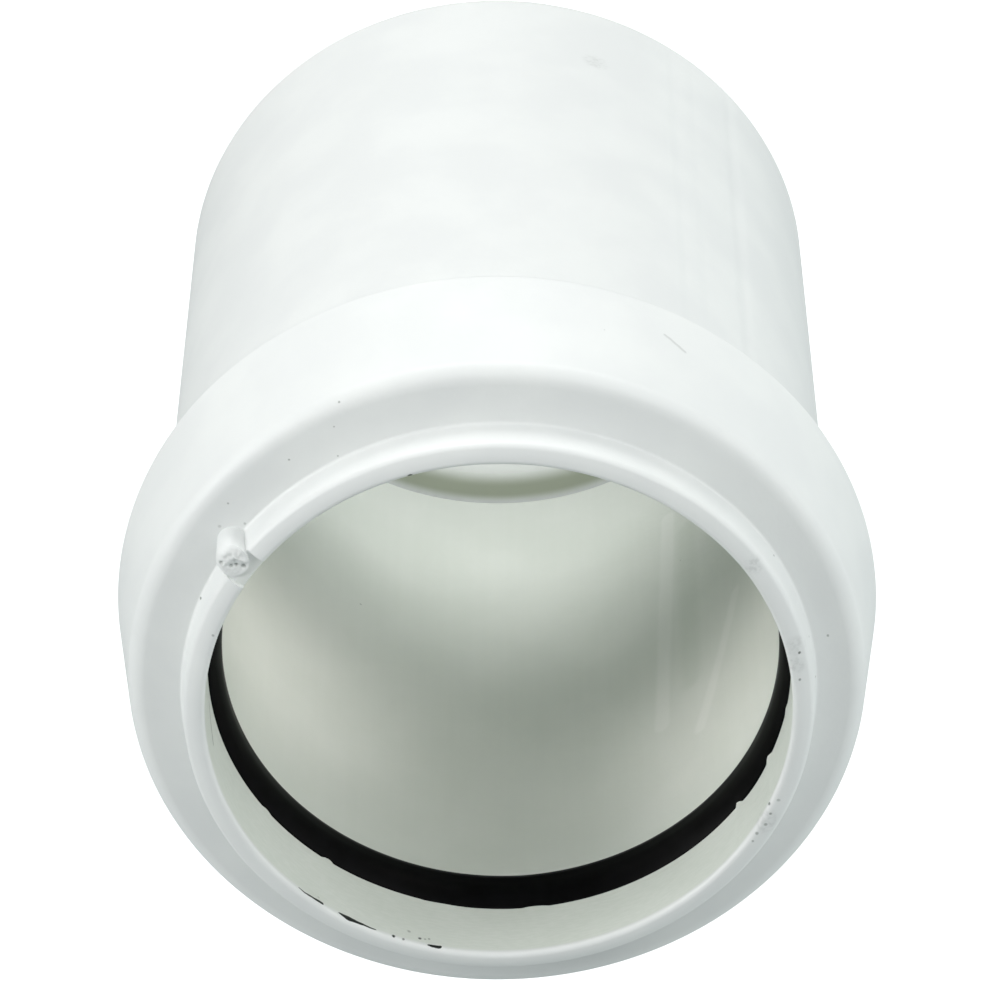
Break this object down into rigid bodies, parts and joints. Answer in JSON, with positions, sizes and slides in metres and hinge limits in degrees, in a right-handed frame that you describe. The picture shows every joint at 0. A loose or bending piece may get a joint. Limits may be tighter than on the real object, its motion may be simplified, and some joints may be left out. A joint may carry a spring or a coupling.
{
  "type": "push-fit waste reducer",
  "caption": "Short white waste-pipe reducer: a plain spigot tube, then a tapered collar and raised mouth lip that hold a black rubber ring, which seals a smaller pipe pushed in.",
  "frame": {"origin": "centre of the spigot's end face, on the axis, where the reducer stands", "axes": "+Z along the axis from the spigot end to the mouth; the gate stub lies 35.2 degrees from +X towards -Y"},
  "size_m": [0.046, 0.046, 0.054],
  "materials": {
    "white_plastic": "satin moulded polypropylene with light scuffs",
    "black_rubber": "smooth moulded rubber with a faint sheen"
  },
  "bodies": {
    "root": {"reducer_body": "white_plastic", "seal_ring": "black_rubber"}
  },
  "joints": []
}
